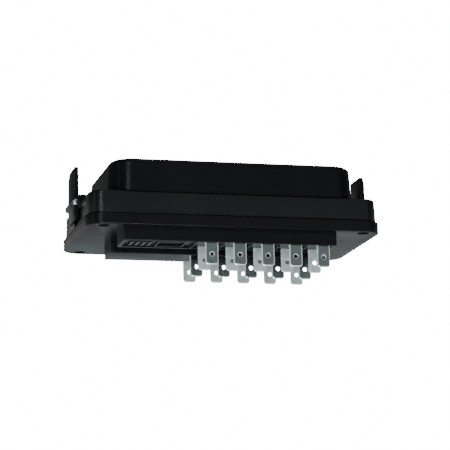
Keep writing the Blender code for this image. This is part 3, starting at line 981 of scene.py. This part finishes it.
def latch_piece(side, body, x, y, z):
    low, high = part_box(body)
    inner = HALF_LENGTH - SKIRT_INSET + GAP
    outline = [(side * px, pz) for px, pz in latch_outline(abs(x), z, low.z, high.z, inner)]
    made = along_y(f"{body}_arm", outline, low.y, high.y)
    soften(made, LATCH_ROUND, angle=30)
    cut(made, pin_bore(x, y, z, latch_half_width() + PAST))
    return shade(made)


def pin_piece(name, x, y, z):
    """A turned pin with a domed head at each end."""
    shank = latch_half_width() + GAP + EAR_THICKNESS + GAP
    radius, height = PIN_HEAD / 2, PIN_HEAD_HEIGHT
    right = [(PIN / 2, shank - PIN_NECK), (radius - PIN_HEAD_BEVEL, shank)]
    right += [(radius * math.cos(a), shank + height * math.sin(a)) for a in PIN_HEAD_TURNS]
    right.append((PIN_HEAD_FLAT, shank + height))
    left = [(r, -offset) for r, offset in reversed(right)]
    return shade(turned_along_y(name, x, y, z, left + right, steps=24))


# ---------------------------------------------------------------- terminals


def tab_ring(x, y, tip, top, inset):
    """Points round the blade tab at one depth, drawn in by inset, with rounded tip corners."""
    half = TAB_WIDTH / 2 - inset
    radius = TAB_CORNER - inset
    low = tip + inset
    points = arc(x - half + radius, low + radius, radius, 180, 90, TAB_CORNER_STEPS)
    points += arc(x + half - radius, low + radius, radius, 270, 90, TAB_CORNER_STEPS)
    points += [(x + half, top), (x - half, top)]
    return [(px, y, pz) for px, pz in points]


def terminal_piece(name, x, y, inward):
    """A blade tab and, above it, the two leaves of a jaw on a bridge."""
    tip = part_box(name)[0].z
    half = TAB_THICKNESS / 2
    top = BRIDGE_BOTTOM + TAB_THICKNESS
    layers = [(-half, TAB_COIN), (-TAB_HALF_LAND, 0), (TAB_HALF_LAND, 0), (half, TAB_COIN)]
    made = loft(f"{name}_tab", [tab_ring(x, y + dy, tip, top, inset) for dy, inset in layers])
    bore = TAB_HOLE / 2
    flare = [(bore + TAB_FLARE, -half - TAB_FLARE_PAST), (bore, -half + TAB_FLARE_DEPTH)]
    flare += [(radius, -offset) for radius, offset in reversed(flare)]
    cut(made, turned_along_y("hole", x, y, tip + TAB_HOLE_FROM_TIP, flare, steps=28))
    inner, outer = JAW_HALF_GAP, JAW_HALF_GAP + JAW_LEAF
    outline = [
        (x - outer, BRIDGE_BOTTOM),
        (x + outer, BRIDGE_BOTTOM),
        (x + outer, JAW_TOP),
        (x + inner, JAW_TOP),
        (x + inner, top),
        (x - inner, top),
        (x - inner, JAW_TOP),
        (x - outer, JAW_TOP),
    ]
    jaw = along_y("jaw", outline, *sorted((y, y + inward * BLADE_WIDTH)))
    soften(jaw, JAW_ROUND)
    join(made, jaw)
    return shade(made, angle=25)


# ---------------------------------------------------------------- fuses


def fuse_piece(name):
    """The fuse's plastic body: a cap with two test pits, on a waist with a sunk panel each side."""
    low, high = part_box(name)
    x, y = (low.x + high.x) / 2, (low.y + high.y) / 2
    half_x, cap = (high.x - low.x) / 2, (high.y - low.y) / 2
    waist = FUSE_WAIST_WIDTH / 2
    shoulder = high.z - FUSE_CAP
    half_outline = [
        (waist, low.z),
        (waist, shoulder - FUSE_CAP_SLOPE),
        (cap, shoulder),
        (cap, high.z - FUSE_CAP_CHAMFER),
        (cap - FUSE_CAP_CHAMFER, high.z),
    ]
    outline = [(y - waist, low.z)] + [(y + dy, z) for dy, z in half_outline]
    outline += [(y - dy, z) for dy, z in reversed(half_outline[1:])]
    made = along_x(f"{name}_moulding", outline, low.x, high.x)
    soften(made, FUSE_ROUND)
    slit, reach = BLADE_THICKNESS / 2 + GAP, BLADE_SPAN / 2 + GAP
    roof = high.z - FUSE_CAP_ROOF
    hollow = slab("slit", x - slit, x + slit, y - reach, y + reach, low.z - PAST, roof)
    pits = []
    panels = []
    for side in (-1, 1):
        middle = y + side * (cap - PIT_FROM_END)
        pits.append(
            slab(
                "pit", x - PIT_HALF_WIDTH, x + PIT_HALF_WIDTH,
                middle - PIT_HALF_LENGTH, middle + PIT_HALF_LENGTH,
                high.z - PIT_DEPTH, high.z + PAST,
            )
        )
        ends = sorted((x + side * (half_x - PANEL_DEPTH), x + side * (half_x + PAST)))
        half = waist - PANEL_FROM_SIDE
        panels.append(
            slab(
                "panel", *ends, y - half, y + half,
                low.z + PANEL_FROM_FOOT, shoulder - PANEL_FROM_CAP,
            )
        )
    cut(made, hollow, gather("pits", pits), gather("panels", panels))
    return shade(made)


# ---------------------------------------------------------------- lights, floor and camera


def studio_world():
    """White to the camera. To the object it is a dim room, paler low down and at the back."""
    world = bpy.data.worlds.new("studio")
    bpy.context.scene.world = world
    world.use_nodes = True
    tree = world.node_tree
    tree.nodes.clear()
    make, link = tree.nodes.new, tree.links.new
    place = make("ShaderNodeTexCoord").outputs["Generated"]
    split = make("ShaderNodeSeparateXYZ")
    link(place, split.inputs["Vector"])
    height = direction_ramp(tree, split.outputs["Z"], HEIGHT_STOPS)
    depth = direction_ramp(tree, split.outputs["Y"], DEPTH_STOPS)
    product = make("ShaderNodeMix")
    product.data_type = "RGBA"
    product.blend_type = "MULTIPLY"
    sockets = {socket.identifier: socket for socket in product.inputs}
    sockets["Factor_Float"].default_value = 1.0
    link(height, sockets["A_Color"])
    link(depth, sockets["B_Color"])
    room, white = make("ShaderNodeBackground"), make("ShaderNodeBackground")
    results = {socket.identifier: socket for socket in product.outputs}
    link(results["Result_Color"], room.inputs["Color"])
    white.inputs["Color"].default_value = (1, 1, 1, 1)
    white.inputs["Strength"].default_value = WHITE_BEHIND
    choose, path = make("ShaderNodeMixShader"), make("ShaderNodeLightPath")
    link(path.outputs["Is Camera Ray"], choose.inputs["Fac"])
    link(room.outputs["Background"], choose.inputs[1])
    link(white.outputs["Background"], choose.inputs[2])
    link(choose.outputs["Shader"], make("ShaderNodeOutputWorld").inputs["Surface"])


def direction_ramp(tree, source, stops):
    """Colours over a direction's coordinate, which runs from -1 to 1."""
    shift = tree.nodes.new("ShaderNodeMath")
    shift.operation = "MULTIPLY_ADD"
    shift.inputs[1].default_value = 0.5
    shift.inputs[2].default_value = 0.5
    tree.links.new(source, shift.inputs[0])
    placed = [((value + 1) / 2, colour) for value, colour in stops]
    return colour_ramp(tree, shift.outputs["Value"], placed)


def direction(azimuth, elevation):
    """Unit vector from the object towards a place, in degrees. Azimuth 0 is -Y and 90 is +X."""
    a, e = math.radians(azimuth), math.radians(elevation)
    return Vector((math.sin(a) * math.cos(e), -math.cos(a) * math.cos(e), math.sin(e)))


def soft_light(name, azimuth, elevation, distance, size, power, colour):
    """A rectangular light that faces the object."""
    data = bpy.data.lights.new(name, "AREA")
    data.shape = "RECTANGLE"
    data.size, data.size_y = size
    data.energy = power
    data.color = colour
    made = add_object(name, data)
    away = direction(azimuth, elevation)
    made.location = MIDDLE + away * distance
    made.rotation_mode = "QUATERNION"
    made.rotation_quaternion = away.to_track_quat("Z", "Y")
    made.visible_camera = False


def floor():
    sections = [(FLOOR_RADIUS, -FLOOR_THICKNESS), (FLOOR_RADIUS, 0)]
    made = upright("floor", 0, 0, sections, steps=96)
    made.location = (MIDDLE.x, MIDDLE.y, MIDDLE.z - FLOOR_DROP)
    n = Nodes("pale_floor")
    grey = n.ramp(n.noise(1.5, detail=2), [(0.3, 0.80), (0.7, 0.84)])
    white = (1, 1, 1, 1)
    material = n.set(
        Base_Color=grey, Roughness=0.8, Emission_Color=white, Emission_Strength=FLOOR_GLOW
    )
    paint(made, material)


def camera():
    data = bpy.data.cameras.new("camera")
    data.lens = CAMERA_LENS
    data.sensor_width = CAMERA_SENSOR
    data.clip_start, data.clip_end = CAMERA_CLIP
    made = add_object("camera", data)
    back = direction(CAMERA_AZIMUTH, CAMERA_ELEVATION)
    facing = back.to_track_quat("Z", "Y").to_matrix()
    turned = facing @ Matrix.Rotation(math.radians(CAMERA_ROLL), 3, "Z")
    aim = MIDDLE + turned @ Vector((AIM_RIGHT, AIM_UP, 0))
    made.matrix_world = Matrix.Translation(aim + back * CAMERA_DISTANCE) @ turned.to_4x4()
    bpy.context.scene.camera = made


# ---------------------------------------------------------------- the object

base_black = black_plastic("base_black", (0.0075, 0.008, 0.009), rough=0.27, shine=(0.21, 0.21))
lid_black = black_plastic(
    "lid_black", (0.0065, 0.0075, 0.0085), rough=0.27, shine=(0.48, 0.2), step=SKIRT_TOP
)
latch_black = black_plastic("latch_black", (0.008, 0.008, 0.0085), rough=0.3)
# Tin for rows a and c, with a painted highlight on its coined bevels
tin = plated_metal(
    "tin_plate", (0.42, 0.45, 0.44), (0.33, 0.37, 0.36),
    rough=0.22, grain=1500, stretch=(0.2, 1, 1), brushed=0.05, painted_rim_highlight=True,
)
# A paler, more diffuse copy of the tin for rows b and d: painted light, standing in for the brighter reflection on
# those rows
painted_sheen_tin = plated_metal(
    "painted_sheen_tin_plate", (0.80, 0.90, 0.88), (0.60, 0.70, 0.68),
    rough=0.45, grain=900, brushed=0.12, metallic=0.4,
)
steel = plated_metal(
    "pin_steel", (0.70, 0.71, 0.74), (0.5, 0.5, 0.52), rough=0.22, grain=1200
)
zinc = plated_metal(
    "fuse_zinc", (0.66, 0.66, 0.65), (0.48, 0.48, 0.47), rough=0.3, grain=1200, stretch=(1, 1, 0.2)
)

stand_for(base_piece(), "base", "base", base_black)
stand_for(lid_piece(), "lid", "lid", lid_black)
for pivot_side, pivot_body, pivot_x, pivot_y, pivot_z in pivots():
    arm = latch_piece(pivot_side, pivot_body, pivot_x, pivot_y, pivot_z)
    stand_for(arm, pivot_body, pivot_body, latch_black)
    pin_node = pivot_body.replace("latch", "latch_pin")
    pin = pin_piece(f"{pin_node}_rivet", pivot_x, pivot_y, pivot_z)
    stand_for(pin, pin_node, "lid", steel)
for terminal_node, tab_x, tab_y, jaw_side in terminals():
    # rows b and d take the paler copy of the tin, a painted reflection
    tin_or_painted_sheen = tin if jaw_side > 0 else painted_sheen_tin
    terminal = terminal_piece(terminal_node, tab_x, tab_y, jaw_side)
    stand_for(terminal, terminal_node, "base", tin_or_painted_sheen)

tints = {slot: tinted_plastic(slot, colour) for slot, colour in FUSE_TINTS.items()}
slot_of = {part["node"]: part["material_slot"] for part in frame["record"]["subparts"]}
for number in range(1, FUSES + 1):
    body_node, element_node = f"fuse_body_{number:02d}", f"fuse_element_{number:02d}"
    slot = slot_of[body_node]
    stand_for(fuse_piece(body_node), body_node, f"fuse_{number:02d}", tints[slot])
    paint(frame["nodes"][element_node], zinc)

studio_world()
floor()
camera()
for light_name, light_settings in LIGHTS.items():
    soft_light(light_name, *light_settings)
